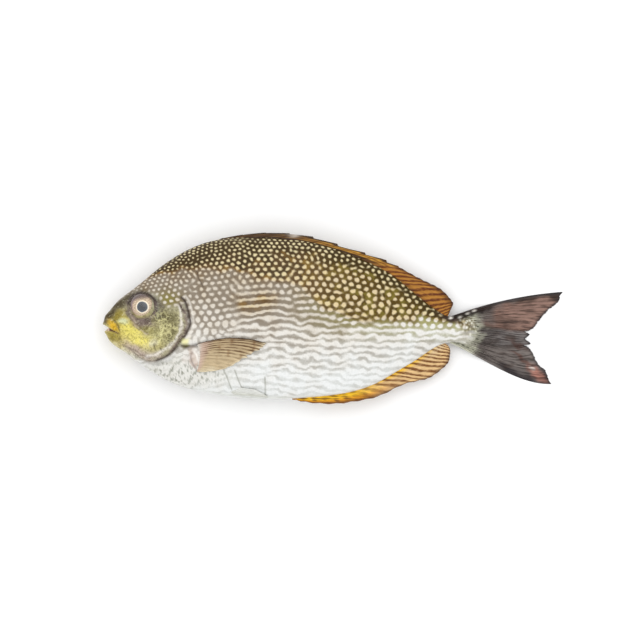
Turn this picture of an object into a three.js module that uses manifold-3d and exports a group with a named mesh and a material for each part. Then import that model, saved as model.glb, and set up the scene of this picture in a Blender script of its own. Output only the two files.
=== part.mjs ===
// A whole raw spinefoot (rabbitfish), laid on its right side on a flat surface.
// X runs from the snout to the tail, Y from the belly to the back, Z up from the surface.
// Lengths are millimetres. The body is a loft of rounded sections. Each fin is a thin sheet
// of rays that starts inside the body and is trimmed to a small gap round it.
import * as THREE from 'three';
import { ParametricGeometry } from 'three/addons/geometries/ParametricGeometry.js';
import { mergeVertices } from 'three/addons/utils/BufferGeometryUtils.js';
import Module from 'manifold-3d';

// Driving dimensions
const bodyLength = 244; // snout to the end of the scaly tail stalk
const bodyDepth = 106; // back to belly, without the fins
const bodyWidth = 38; // flank to flank, before the flesh flattens under its own weight
const fitGap = 0.4; // between the body and what is set in or on it
const noseRound = 4; // length of the rounded snout
const stalkRound = 9; // length of the rounded end of the tail stalk
const eyeDiameter = 17.5;
const eyeThickness = 0.27 * bodyWidth;
const eyeBulge = 1.4; // how far the eye stands out of the head
const mouthLength = 8.5;
const mouthGape = 2.4; // opening at the lips
const gillSlitWidth = 1.1;
const gillSlitDepth = 3;
const finEdgeThickness = 0.8;
const dorsalBaseThickness = 2.2;
const analBaseThickness = 2.0;
const tailBaseThickness = 2.6;
const pectoralThickness = 1.0;
const pelvicThickness = 0.9;
const finRootDepth = 2.5; // how far a fin's root is drawn into the body before it is trimmed
const tailRootDepth = 6; // the same for the tail fin
const tailDroop = 26; // length over which the tail fin sinks from the stalk to the surface

// Facets
const bodyStations = 46;
const sectionPoints = 34;
const eyeFacets = 20;

// Outlines: stations are percent of bodyLength, heights percent of bodyDepth
const backLine = [[0, 0.5], [1.3, 3.7], [3.4, 9.5], [7.7, 17.5], [14.1, 29.5], [20.5, 39.6], [26.9, 46.2],
  [34.3, 49.3], [42.4, 49.6], [50.4, 48.4], [61.4, 42.8], [71.2, 34.2], [78.7, 24.2], [85.1, 11.9],
  [89.4, 4.3], [93.4, 0.8], [96.7, 2.2], [100, 3.1]];
const bellyLine = [[0, -8], [1.3, -12.5], [5.5, -20.3], [9.8, -27.9], [14.1, -34.4], [20.5, -41.5],
  [26.9, -45.5], [35.5, -48.6], [44.5, -49.6], [55.2, -48.4], [66.7, -44.6], [73.1, -39.5], [77.9, -33.3],
  [83.4, -25.5], [87.8, -18.9], [93.4, -14.6], [96.7, -16.4], [100, -17.5]];
// Half thickness and the height of the middle plane above the surface, percent of bodyWidth
const thicknessLine = [[0, 9.2], [3.4, 16.6], [7.7, 26.8], [14.1, 37.6], [20.5, 44.7], [26.9, 48.7],
  [35.3, 50], [44.3, 48.9], [55.3, 43.7], [66.8, 34.2], [77.9, 23.2], [87.8, 14.7], [93.4, 11.3],
  [96.7, 8.2], [100, 3.9]];
const lieLine = [[0, 40], [14.1, 42.1], [26.9, 43.4], [44, 43.4], [55, 42.6], [66.8, 37.6], [77.9, 28.9],
  [87.8, 21], [93.4, 16.8], [100, 12.1]];
const backSharpness = 1.2; // over 1 draws the section to a keel
const bellySharpness = 0.85; // under 1 rounds it

// Places on the side of the fish
const eyePlace = [10.6, 7.1]; // percent of bodyLength and of bodyDepth
const mouthPlace = [-4.6, -8.4]; // height of the lips and of the mouth's corner, percent of bodyDepth
const gillEdge = [[22.3, 11.4], [23.6, 0.3], [23.3, -7.1], [21.6, -15.1], [18.4, -21.8], [14.6, -25.5]];

// Fin rays. On the back and belly: station of the root, then how far the tip lies behind and above it.
const dorsalRays = [[27, 11.7, 3.3], [34.5, 15.6, 3.2], [42.6, 19.5, 2.6], [50.4, 19.5, 0.2],
  [58, 19.5, -2.2], [64.5, 21.5, -3], [70, 21.5, -3.8], [75.2, 19.9, -3.6], [78.7, 20.8, -2.6],
  [82, 20.8, -0.7], [85.2, 18.9, -0.4], [88.2, 12.6, 2.4], [89.9, 6.5, 0.9], [91.7, 1, 0.4]];
const analRays = [[50.4, 9.1, -3.4], [55.2, 14.3, -4.4], [60.5, 16.9, -4.1], [66.7, 17.6, -3.1],
  [71.2, 20.8, 0.3], [75.2, 24, -1.2], [77.9, 24.8, -2.2], [80.9, 24.6, -1.1], [83.4, 21.7, -1.1],
  [85.6, 16.9, -1.2], [87.8, 11.9, -1.4], [89.4, 7.2, -0.9], [90.6, 2.6, -0.3]];
// Tail: ray tips from the upper lobe to the lower one, measured from the middle of the stalk
const tailStation = 94; // percent of bodyLength
const tailStalkFill = 0.92; // share of the stalk's height that the ray roots take
const tailUpperBow = 3; // how far the outermost rays bow outwards
const tailLowerBow = 4.6;
const tailTips = [[70.7, 24.8], [66.9, 18.2], [61.2, 13.2], [55.8, 7.3], [49.8, 0], [45.4, -0.9],
  [48.2, -3], [46.4, -6.2], [49.2, -9.3], [44.8, -10.2], [49.5, -12.8], [53.4, -20.8], [59, -27.6],
  [63.5, -35.5]];
// Paired fins: root and tip of each ray, measured from the fin's own place on the side
const pectoralPlace = [23.9, -24.9];
const pectoralRays = [[-3.3, 7.2, 47.6, 10.7], [-2.6, 5.6, 45.4, 8], [-1.8, 3.6, 39.7, 4.6],
  [-1, 1.2, 33.9, 1.3], [-0.2, -1.6, 26.7, -3.3], [1, -5, 18.2, -6.5], [2, -7.7, 7.8, -7.9]];
const pectoralBow = 4.9; // the leading ray bows towards the back
const pelvicPlace = [35.2, -44.8];
const pelvicRays = [[-6, -0.4, 21.5, -3], [-4, 0.9, 19.5, -1.4], [-1, 2.2, 16.5, 0.3], [2, 3.4, 13, 2]];
const rightPectoralSwing = -28; // degrees towards the belly, where the flank leaves room under it

const skin = { color: 0x9a9078, roughness: 0.45, metalness: 0 };
const finBrown = { color: 0x8a6634, roughness: 0.55, metalness: 0 };
const finOrange = { color: 0xb98a3a, roughness: 0.55, metalness: 0 };
const finGrey = { color: 0x6a5f5a, roughness: 0.55, metalness: 0 };
const finTan = { color: 0xb9a27c, roughness: 0.55, metalness: 0 };
const finPale = { color: 0xd8d8d0, roughness: 0.5, metalness: 0 };
const eyeGloss = { color: 0xb0a48c, roughness: 0.2, metalness: 0 };

// A natural cubic spline through [x, y] points, as a function of x.
function smoothLine(points) {
  const n = points.length;
  const gap = (i) => points[i + 1][0] - points[i][0];
  const slope = (i) => (points[i + 1][1] - points[i][1]) / gap(i);
  const bend = new Array(n).fill(0);
  const carry = new Array(n).fill(0);
  for (let i = 1; i < n - 1; i++) {
    const pivot = 2 * (gap(i - 1) + gap(i)) - gap(i - 1) * carry[i - 1];
    carry[i] = gap(i) / pivot;
    bend[i] = (6 * (slope(i) - slope(i - 1)) - gap(i - 1) * bend[i - 1]) / pivot;
  }
  for (let i = n - 2; i > 0; i--) bend[i] -= carry[i] * bend[i + 1];
  return (x) => {
    let i = 0;
    while (i < n - 2 && x > points[i + 1][0]) i++;
    const d = x - points[i][0];
    const w = gap(i);
    return points[i][1] + d * (slope(i) - (w * (2 * bend[i] + bend[i + 1])) / 6)
      + (bend[i] / 2) * d * d + ((bend[i + 1] - bend[i]) / (6 * w)) * d ** 3;
  };
}

const spanned = (points, across) => {
  const line = smoothLine(points);
  return (x) => (line(Math.min(Math.max((100 * x) / bodyLength, 0), 100)) / 100) * across;
};
const backAt = spanned(backLine, bodyDepth);
const bellyAt = spanned(bellyLine, bodyDepth);
const halfWidthAt = spanned(thicknessLine, bodyWidth);
const midPlaneAt = spanned(lieLine, bodyWidth);
const stationX = (percent) => (percent / 100) * bodyLength;
const heightY = (percent) => (percent / 100) * bodyDepth;

// Quarter-ellipse rounding at the snout and at the end of the stalk.
function endRounding(x) {
  const fromNose = THREE.MathUtils.clamp(x / noseRound, 0, 1);
  const fromStalk = THREE.MathUtils.clamp((bodyLength - x) / stalkRound, 0, 1);
  return Math.sqrt(fromNose * (2 - fromNose) * fromStalk * (2 - fromStalk));
}

// Middle height and half depth of the section at x, grown outwards by `grow`.
function sectionAt(x, grow) {
  const round = endRounding(x);
  return {
    middle: (backAt(x) + bellyAt(x)) / 2,
    halfDepth: ((backAt(x) - bellyAt(x)) / 2) * round + grow,
    halfWidth: halfWidthAt(x) * round + grow,
  };
}

// Half thickness of the flank at height y of a section.
function flankAt(section, y) {
  const t = THREE.MathUtils.clamp((y - section.middle) / section.halfDepth, -1, 1);
  const sharpness = THREE.MathUtils.lerp(bellySharpness, backSharpness, (1 + t) / 2);
  return section.halfWidth * Math.pow(1 - t * t, sharpness / 2);
}

// The body's skin, grown outwards by `grow`: sections along x, points round each section.
function bodyLoft(grow) {
  const surface = (u, v, target) => {
    const along = 0.5 - 0.5 * Math.cos(Math.PI * Math.pow(v, 0.85)); // closer stations at both ends
    const x = along * bodyLength;
    const section = sectionAt(x, grow);
    const angle = 2 * Math.PI * u;
    const y = section.middle + section.halfDepth * Math.cos(angle);
    const side = Math.sin(angle) < 0 ? -1 : 1;
    const atEnd = v === 0 || v === 1;
    const reach = v === 0 ? -grow : v === 1 ? grow : 0;
    const z = midPlaneAt(x) + (atEnd ? 0 : side * flankAt(section, y));
    target.set(x + reach, atEnd ? section.middle : y, Math.max(z, -grow));
  };
  return new ParametricGeometry(surface, sectionPoints, bodyStations);
}

// A fin as a closed sheet of rays, with a flattened loop as its section along a ray. rays holds
// [rootX, rootY, tipX, tipY] and bow(ray, reach) moves a point of a ray sideways. lay(x, y, reach, half)
// gives the sheet's middle point and the direction it is thick in, where it is 2 * half thick.
function finSheet({ rays, bow, lay, rootThickness, edgeThickness, across, alongRay }) {
  const lines = [0, 1, 2, 3].map((k) => smoothLine(rays.map((ray, i) => [i / (rays.length - 1), ray[k]])));
  const middle = Math.floor(rays.length / 2);
  const [first, second] = [middle, middle + 1].map((i) => new THREE.Vector2(rays[i][0], rays[i][1]));
  const tip = new THREE.Vector2(rays[middle][2], rays[middle][3]);
  const turn = second.sub(first).cross(tip.sub(first));
  const surface = (u, v, target) => {
    const ray = turn > 0 ? u : 1 - u; // so that the faces point outwards
    const reach = 0.5 - 0.5 * Math.cos(2 * Math.PI * v);
    const [rootX, rootY, tipX, tipY] = lines.map((line) => line(ray));
    const x = THREE.MathUtils.lerp(rootX, tipX, reach);
    const y = THREE.MathUtils.lerp(rootY, tipY, reach) + bow(ray, reach);
    const half = THREE.MathUtils.lerp(rootThickness, edgeThickness, reach) / 2;
    const closing = u > 0 && u < 1 ? Math.pow(4 * reach * (1 - reach), 0.2) : 0;
    const { point, across: direction } = lay(x, y, reach, half);
    target.copy(point).addScaledVector(direction, (v < 0.5 ? half : -half) * closing);
  };
  return new ParametricGeometry(surface, across, 2 * alongRay);
}

const wasm = await Module();
wasm.setup();

// A closed three.js geometry as a manifold-3d solid, and back.
function solidOf(geometry) {
  const bare = new THREE.BufferGeometry().setAttribute('position', geometry.getAttribute('position'));
  const merged = mergeVertices(bare.setIndex(geometry.getIndex()), 1e-4);
  return new wasm.Manifold(new wasm.Mesh({
    numProp: 3,
    vertProperties: merged.attributes.position.array,
    triVerts: new Uint32Array(merged.index.array),
  }));
}

function geometryOf(solid) {
  const mesh = solid.getMesh();
  const geometry = new THREE.BufferGeometry();
  geometry.setAttribute('position', new THREE.BufferAttribute(mesh.vertProperties, 3));
  geometry.setIndex(new THREE.BufferAttribute(mesh.triVerts, 1));
  geometry.computeVertexNormals();
  return geometry;
}

// The outline of a strip of even width along a curve, for ExtrudeGeometry.
function stripShape(points, width) {
  const curve = new THREE.SplineCurve(points.map(([x, y]) => new THREE.Vector2(x, y)));
  const steps = 14;
  const sides = [1, -1].map((side) => Array.from({ length: steps + 1 }, (_, i) => {
    const t = i / steps;
    const tangent = curve.getTangent(t);
    const normal = new THREE.Vector2(-tangent.y, tangent.x).multiplyScalar((side * width) / 2);
    return curve.getPoint(t).add(normal);
  }));
  return new THREE.Shape([...sides[0], ...sides[1].reverse()]);
}

// A shape run through the whole thickness of the body.
function throughBody(shape) {
  const bar = new THREE.ExtrudeGeometry(shape, { depth: 2 * bodyWidth, bevelEnabled: false });
  return bar.translate(0, 0, -bodyWidth / 2);
}

// A flattened ball turned to face out of the tapering head. side is 1 for the left eye, -1 for the right.
function eyeBall(side, grow) {
  const x = stationX(eyePlace[0]);
  const y = heightY(eyePlace[1]);
  const reach = (atX) => flankAt(sectionAt(atX, 0), y);
  const taper = Math.atan((reach(x + eyeDiameter / 2) - reach(x - eyeDiameter / 2)) / eyeDiameter);
  const centre = reach(x) + eyeBulge - eyeThickness / 2;
  return new THREE.SphereGeometry(1, eyeFacets, eyeFacets / 2)
    .rotateX(Math.PI / 2)
    .scale(eyeDiameter / 2 + grow, eyeDiameter / 2 + grow, eyeThickness / 2 + grow)
    .rotateY(-side * taper)
    .translate(x, y, midPlaneAt(x) + side * centre);
}

function mouthWedge() {
  const [lips, corner] = mouthPlace.map(heightY);
  const shape = new THREE.Shape([
    new THREE.Vector2(-noseRound, lips + 0.9 * mouthGape),
    new THREE.Vector2(-noseRound, lips - 0.9 * mouthGape),
    new THREE.Vector2(mouthLength, corner),
  ]);
  return throughBody(shape);
}

function bodySolid() {
  const core = solidOf(bodyLoft(-gillSlitDepth));
  const gillStrip = stripShape(gillEdge.map(([s, h]) => [stationX(s), heightY(h)]), gillSlitWidth);
  const gillSlits = solidOf(throughBody(gillStrip)).subtract(core);
  return [gillSlits, solidOf(mouthWedge()), solidOf(eyeBall(1, fitGap)), solidOf(eyeBall(-1, fitGap))]
    .reduce((body, cut) => body.subtract(cut), solidOf(bodyLoft(0)));
}

const grownBody = solidOf(bodyLoft(fitGap));

// The part of a fin that stands clear of the body.
function trimmed(geometry) {
  const pieces = solidOf(geometry).subtract(grownBody).decompose();
  return geometryOf(pieces.sort((a, b) => b.volume() - a.volume())[0]);
}

// The outward direction of the left flank at x, y, before it is moved to the middle plane's height.
function flankNormal(x, y) {
  const step = 0.5;
  const height = (dx, dy) => flankAt(sectionAt(x + dx, 0), y + dy);
  const alongX = (height(step, 0) - height(-step, 0)) / (2 * step);
  const alongY = (height(0, step) - height(0, -step)) / (2 * step);
  return new THREE.Vector3(-alongX, -alongY, 1).normalize();
}

const upright = (x, y, z) => ({ point: new THREE.Vector3(x, y, z), across: new THREE.Vector3(0, 0, 1) });

// A fin that stands on the back (side 1) or the belly (side -1), in the fish's middle plane.
function ridgeFin(rays, edgeAt, side, rootThickness) {
  return trimmed(finSheet({
    rays: rays.map(([station, behind, above]) => {
      const x = stationX(station);
      return [x, edgeAt(x) - side * finRootDepth, x + behind, edgeAt(x) + above];
    }),
    bow: () => 0,
    lay: (x, y) => upright(x, y, midPlaneAt(x)),
    rootThickness,
    edgeThickness: finEdgeThickness,
    across: 44,
    alongRay: 4,
  }));
}

// The tail fin stands in the stalk's middle plane and sinks behind it until it lies on the surface.
function tailFin() {
  const x = stationX(tailStation);
  const middle = (backAt(x) + bellyAt(x)) / 2;
  const spread = tailStalkFill * (backAt(x) - bellyAt(x));
  const rootY = (i) => middle + spread * (0.5 - i / (tailTips.length - 1));
  return trimmed(finSheet({
    rays: tailTips.map(([behind, above], i) => [x - tailRootDepth, rootY(i), x + behind, middle + above]),
    bow: (ray, reach) => {
      const outward = Math.cos(Math.PI * ray);
      const upper = 4 * tailUpperBow * reach * (1 - reach);
      const lower = 6.75 * tailLowerBow * reach * reach * (1 - reach);
      return outward * (outward > 0 ? upper : lower);
    },
    lay: (atX, atY, reach, half) => {
      const sunk = THREE.MathUtils.smoothstep(atX, x, x + tailDroop);
      return upright(atX, atY, THREE.MathUtils.lerp(midPlaneAt(x), half, sunk));
    },
    rootThickness: tailBaseThickness,
    edgeThickness: finEdgeThickness,
    across: 52,
    alongRay: 7,
  }));
}

// A paired fin laid along the flank: side 1 is the left (upper) one, -1 the right one. It is swung
// about its own place by `swing` degrees. The right one never goes below the surface the fish lies on.
function pairedFin({ side, place, rays, swing = 0, bow = 0, thickness }) {
  const centre = new THREE.Vector2(stationX(place[0]), heightY(place[1]));
  const origin = new THREE.Vector2();
  const turned = (x, y) => new THREE.Vector2(x, y)
    .rotateAround(origin, THREE.MathUtils.degToRad(swing))
    .add(centre)
    .toArray();
  return trimmed(finSheet({
    rays: rays.map(([rootX, rootY, tipX, tipY]) => [...turned(rootX, rootY), ...turned(tipX, tipY)]),
    bow: (ray, reach) => 4 * bow * (1 - ray) * reach * (1 - reach),
    lay: (x, y, reach, half) => {
      const clear = 1.3 * fitGap + half;
      const lift = THREE.MathUtils.lerp(-finRootDepth, clear, THREE.MathUtils.smoothstep(reach, 0, 0.25));
      const normal = flankNormal(x, y);
      const point = new THREE.Vector3(x, y, flankAt(sectionAt(x, 0), y)).addScaledVector(normal, lift);
      point.z = Math.max(midPlaneAt(x) + side * point.z, half);
      const across = new THREE.Vector3(side * normal.x, side * normal.y, normal.z);
      return point.z === half ? upright(x, y, half) : { point, across };
    },
    rootThickness: thickness,
    edgeThickness: thickness,
    across: 20,
    alongRay: 7,
  }));
}

const fish = new THREE.Group();
const add = (name, geometry, look) => {
  const mesh = new THREE.Mesh(geometry, new THREE.MeshStandardMaterial(look));
  mesh.name = name;
  fish.add(mesh);
};

add('body', geometryOf(bodySolid()), skin);
add('left_eye', eyeBall(1, 0), eyeGloss);
add('right_eye', eyeBall(-1, 0), eyeGloss);
add('dorsal_fin', ridgeFin(dorsalRays, backAt, 1, dorsalBaseThickness), finBrown);
add('anal_fin', ridgeFin(analRays, bellyAt, -1, analBaseThickness), finOrange);
add('tail_fin', tailFin(), finGrey);
const pectoral = { place: pectoralPlace, rays: pectoralRays, thickness: pectoralThickness };
const pelvic = { place: pelvicPlace, rays: pelvicRays, thickness: pelvicThickness };
add('left_pectoral_fin', pairedFin({ ...pectoral, side: 1, bow: pectoralBow }), finTan);
add('right_pectoral_fin', pairedFin({ ...pectoral, side: -1, swing: rightPectoralSwing }), finTan);
add('left_pelvic_fin', pairedFin({ ...pelvic, side: 1 }), finPale);
add('right_pelvic_fin', pairedFin({ ...pelvic, side: -1 }), finPale);

// The origin is the middle of the fish in plan, on the surface it lies on.
const middle = new THREE.Box3().setFromObject(fish, true).getCenter(new THREE.Vector3());
fish.position.set(-middle.x, -middle.y, 0);

export default fish;
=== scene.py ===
# A whole raw spinefoot laid on its right side. X runs from snout to tail, Y from belly to back, Z up.
# Shapes are worked out in millimetres from the snout and moved onto the CAD frame as they become meshes.
import bpy
import math
import numpy as np
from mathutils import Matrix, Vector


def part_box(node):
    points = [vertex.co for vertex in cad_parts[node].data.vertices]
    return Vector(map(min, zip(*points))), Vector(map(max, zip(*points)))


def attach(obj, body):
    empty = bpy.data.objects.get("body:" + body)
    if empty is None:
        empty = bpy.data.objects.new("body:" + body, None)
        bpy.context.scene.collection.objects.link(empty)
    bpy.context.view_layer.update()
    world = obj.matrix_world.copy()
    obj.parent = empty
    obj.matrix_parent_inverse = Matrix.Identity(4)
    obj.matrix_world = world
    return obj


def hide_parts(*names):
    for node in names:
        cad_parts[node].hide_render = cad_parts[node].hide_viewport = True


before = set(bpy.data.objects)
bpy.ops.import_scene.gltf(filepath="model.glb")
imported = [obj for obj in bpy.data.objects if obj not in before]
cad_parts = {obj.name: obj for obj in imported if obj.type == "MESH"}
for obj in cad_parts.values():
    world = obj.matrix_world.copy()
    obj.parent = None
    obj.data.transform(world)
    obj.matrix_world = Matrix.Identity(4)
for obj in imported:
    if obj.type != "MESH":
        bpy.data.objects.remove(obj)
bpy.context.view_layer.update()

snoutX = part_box("body")[0].x * 1000
scene = bpy.context.scene
print("frame loaded,", len(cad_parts), "nodes")


def ease(x, low, high):
    # smooth step: 0 below low, 1 above high, 3t^2 - 2t^3 between
    t = np.clip((x - low) / (high - low), 0, 1)
    return t * t * (3 - 2 * t)


def mix(a, b, t):
    return a + (b - a) * t


def blot(x, y, place, size, power=1.0):
    # soft oval: exp(-(r^2)^power), r measured in its half sizes
    return np.exp(-(((x - place[0]) / size[0]) ** 2 + ((y - place[1]) / size[1]) ** 2) ** power)


def splineLine(points, at):
    # natural cubic spline: the bends solve one linear system, then each span is its own cubic
    x, y = np.array(points, float).T
    gap = np.diff(x)
    slope = np.diff(y) / gap
    inner = np.arange(1, len(x) - 1)
    system = np.eye(len(x))
    system[inner, inner - 1] = gap[:-1]
    system[inner, inner] = 2 * (gap[:-1] + gap[1:])
    system[inner, inner + 1] = gap[1:]
    bend = np.linalg.solve(system, np.concatenate([[0], 6 * np.diff(slope), [0]]))
    k = np.clip(np.searchsorted(x, at) - 1, 0, len(x) - 2)
    d = at - x[k]
    return (y[k] + d * (slope[k] - gap[k] * (2 * bend[k] + bend[k + 1]) / 6)
            + bend[k] / 2 * d ** 2 + (bend[k + 1] - bend[k]) / (6 * gap[k]) * d ** 3)


def gradedSteps(spacing, start, end, count):
    # points whose gaps follow spacing(x): the running total of 1/spacing cut into equal shares
    fine = np.linspace(start, end, 8001)
    total = np.concatenate([[0], np.cumsum(1 / spacing((fine[1:] + fine[:-1]) / 2))])
    return np.interp(np.linspace(0, total[-1], count), total, fine)


def nearCurve(x, y, points, sections=6):
    # distance from each (x, y) to a smooth curve through the points, which side it is on (+ is left of
    # the way the curve runs), and how far along the curve the nearest point is, from 0 to 1
    knots = np.array(points, float)
    at = np.linspace(0, len(knots) - 1, (len(knots) - 1) * sections + 1)
    count = np.arange(len(knots))
    line = np.stack([splineLine(np.column_stack([count, knots[:, i]]), at) for i in (0, 1)], 1)
    best = np.full(x.shape, 1e9)
    side = np.zeros(x.shape)
    along = np.zeros(x.shape)
    for i, (a, b) in enumerate(zip(line[:-1], line[1:])):
        run = b - a
        t = np.clip(((x - a[0]) * run[0] + (y - a[1]) * run[1]) / (run @ run), 0, 1)
        away = np.hypot(x - a[0] - t * run[0], y - a[1] - t * run[1])
        closer = away < best
        cross = run[0] * (y - a[1]) - run[1] * (x - a[0])
        best = np.where(closer, away, best)
        side = np.where(closer, np.sign(cross), side)
        along = np.where(closer, (i + t) / (len(line) - 1), along)
    return best, side, along


def softNoise(x, y, size, seed):
    # cloudy noise from -1 to 1 about `size` wide: a sum of waves with random directions and phases
    rng = np.random.default_rng(seed)
    total = np.zeros(np.shape(x))
    for turn, phase, stretch in zip(rng.uniform(0, math.tau, 14), rng.uniform(0, math.tau, 14),
                                    rng.uniform(0.6, 1.7, 14)):
        k = math.tau / (size * 2 * stretch)
        total += np.sin(k * (x * math.cos(turn) + y * math.sin(turn)) + phase)
    return total / 5


def srgb(red, green, blue):
    # screen colour from 0 to 255 to scene-linear
    c = np.array([red, green, blue]) / 255
    return np.where(c < 0.04045, c / 12.92, ((c + 0.055) / 1.055) ** 2.4)


def ringFaces(rings, around):
    # quads between neighbouring rings, then a fan to the pole before the first and after the last ring
    i, j = np.meshgrid(np.arange(rings - 1), np.arange(around), indexing="ij")
    k = (j + 1) % around
    quads = np.stack([i * around + j, i * around + k, (i + 1) * around + k, (i + 1) * around + j], -1)
    j = np.arange(around)
    k = (j + 1) % around
    pole, last = rings * around, (rings - 1) * around
    firstFan = np.stack([np.full(around, pole), k, j], 1)
    lastFan = np.stack([np.full(around, pole + 1), last + j, last + k], 1)
    return quads.reshape(-1, 4).tolist() + firstFan.tolist() + lastFan.tolist()


def makeMesh(name, points, faces, values, material, node):
    # points in millimetres from the snout; values are per-point numbers or colours for the shader
    mesh = bpy.data.meshes.new(name)
    placed = (np.asarray(points, float) + [snoutX, 0, 0]) / 1000
    mesh.from_pydata(placed.tolist(), [], [list(f) for f in faces])
    for label, data in values.items():
        data = np.asarray(data, np.float32)
        if data.ndim == 1:
            mesh.attributes.new(label, "FLOAT", "POINT").data.foreach_set("value", data)
        else:
            colour = np.column_stack([data, np.ones(len(data), np.float32)]).ravel()
            mesh.attributes.new(label, "FLOAT_COLOR", "POINT").data.foreach_set("color", colour)
    mesh.polygons.foreach_set("use_smooth", np.ones(len(mesh.polygons), bool))
    mesh.validate()
    mesh.update()
    mesh.materials.append(material)
    piece = bpy.data.objects.new(name, mesh)
    scene.collection.objects.link(piece)
    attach(piece, "root")
    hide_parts(node)


def plug(tree, node, values):
    # a value that is another node's socket is linked, anything else is typed in, a colour as opaque
    for key, value in values.items():
        socket = node.inputs[key]
        if isinstance(value, bpy.types.NodeSocket):
            tree.links.new(value, socket)
        elif socket.type == "RGBA":
            socket.default_value = (*value, 1)
        else:
            socket.default_value = value


def wire(tree, kind, values=None, **settings):
    # one shader node with its settings and inputs
    made = tree.nodes.new(kind)
    for key, value in settings.items():
        setattr(made, key, value)
    plug(tree, made, values or {})
    return made


def ramp(tree, factor, stops):
    made = wire(tree, "ShaderNodeValToRGB", {"Fac": factor})
    elements = made.color_ramp.elements
    while len(elements) < len(stops):
        elements.new(0.5)
    for element, (place, tone) in zip(elements, stops):
        element.position = place
        element.color = (*tone, 1)
    return made.outputs["Color"]


def blend(tree, factor, a, b, how="MIX"):
    return wire(tree, "ShaderNodeMix", {0: factor, 6: a, 7: b}, data_type="RGBA", blend_type=how).outputs[2]


def tint(tree, colour, by):
    return blend(tree, 1.0, colour, by, "MULTIPLY")


def sums(tree, how, a, b=0.0, c=0.0):
    return wire(tree, "ShaderNodeMath", {0: a, 1: b, 2: c}, operation=how).outputs[0]


def spread(tree, value, low, high, toLow=0.0, toHigh=1.0, kind="SMOOTHSTEP"):
    return wire(tree, "ShaderNodeMapRange", {"Value": value, "From Min": low, "From Max": high,
                                             "To Min": toLow, "To Max": toHigh},
                interpolation_type=kind).outputs["Result"]


def relief(tree, height, strength, distance):
    return wire(tree, "ShaderNodeBump", {"Height": height, "Strength": strength,
                                         "Distance": distance}).outputs["Normal"]


def readValues(tree, *labels):
    # the numbers that each point of the mesh carries under these labels
    return [wire(tree, "ShaderNodeAttribute", attribute_name=label).outputs["Fac"] for label in labels]


def readPaint(tree):
    return wire(tree, "ShaderNodeAttribute", attribute_name="paint").outputs["Color"]


def newMaterial(name):
    material = bpy.data.materials.new(name)
    material.use_nodes = True
    tree = material.node_tree
    tree.nodes.clear()
    shader = wire(tree, "ShaderNodeBsdfPrincipled")
    wire(tree, "ShaderNodeOutputMaterial", {"Surface": shader.outputs[0]})
    return material, tree, shader


def noiseAt(tree, vector, scale, detail=4.0, rough=0.55, distort=0.0):
    return wire(tree, "ShaderNodeTexNoise", {"Vector": vector, "Scale": scale, "Detail": detail,
                                             "Roughness": rough, "Distortion": distort}).outputs["Fac"]


bodyShape = {
    "length": 244, "depth": 106, "width": 38,
    "rings": 446, "around": 222,
    "noseRound": 4, "stalkRound": 9,
    "backSharpness": 1.2, "bellySharpness": 0.85,
    # stations are percent of length, heights percent of depth, the last two percent of width
    "back": [[0, 0.5], [1.3, 3.7], [3.4, 9.5], [7.7, 17.5], [14.1, 29.5], [20.5, 39.6], [26.9, 46.2],
             [34.3, 49.3], [42.4, 49.6], [50.4, 48.4], [61.4, 42.8], [71.2, 34.2], [78.7, 24.2], [85.1, 11.9],
             [89.4, 4.3], [93.4, 0.8], [96.7, 2.2], [100, 3.1]],
    "belly": [[0, -8], [1.3, -12.5], [5.5, -20.3], [9.8, -27.9], [14.1, -34.4], [20.5, -41.5],
              [26.9, -45.5], [35.5, -48.6], [44.5, -49.6], [55.2, -48.4], [66.7, -44.6], [73.1, -39.5],
              [77.9, -33.3], [83.4, -25.5], [87.8, -18.9], [93.4, -14.6], [96.7, -16.4], [100, -17.5]],
    "thickness": [[0, 9.2], [3.4, 16.6], [7.7, 26.8], [14.1, 37.6], [20.5, 44.7], [26.9, 48.7],
                  [35.3, 50], [44.3, 48.9], [55.3, 43.7], [66.8, 34.2], [77.9, 23.2], [87.8, 14.7],
                  [93.4, 11.3], [96.7, 8.2], [100, 3.9]],
    "lie": [[0, 40], [14.1, 42.1], [26.9, 43.4], [44, 43.4], [55, 42.6], [66.8, 37.6], [77.9, 28.9],
            [87.8, 21], [93.4, 16.8], [100, 12.1]],
}


def bodyLine(name, x):
    across = bodyShape["depth"] if name in ("back", "belly") else bodyShape["width"]
    station = np.clip(100 * np.asarray(x, float) / bodyShape["length"], 0, 100)
    return splineLine(bodyShape[name], station) / 100 * across


def sectionAt(x):
    # middle height, half depth and half width of the section, with quarter-ellipse ends
    nose = np.clip(x / bodyShape["noseRound"], 0, 1)
    stalk = np.clip((bodyShape["length"] - x) / bodyShape["stalkRound"], 0, 1)
    closing = np.sqrt(nose * (2 - nose) * stalk * (2 - stalk))
    back, belly = bodyLine("back", x), bodyLine("belly", x)
    return (back + belly) / 2, (back - belly) / 2 * closing, bodyLine("thickness", x) * closing


def flankAt(x, y):
    # half thickness at height y: w (1 - t^2)^(e/2), sharper towards the back than towards the belly
    middle, halfDepth, halfWidth = sectionAt(x)
    t = np.clip((y - middle) / np.maximum(halfDepth, 1e-6), -1, 1)
    sharp = mix(bodyShape["bellySharpness"], bodyShape["backSharpness"], (1 + t) / 2)
    return halfWidth * (1 - t * t) ** (sharp / 2)


def pressFlat(z):
    # flesh that would go below the slab spreads flat on it: a rounded maximum of z and 0
    return np.maximum((z + np.sqrt(z * z + 1.2)) / 2 - 0.12, 0)


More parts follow.
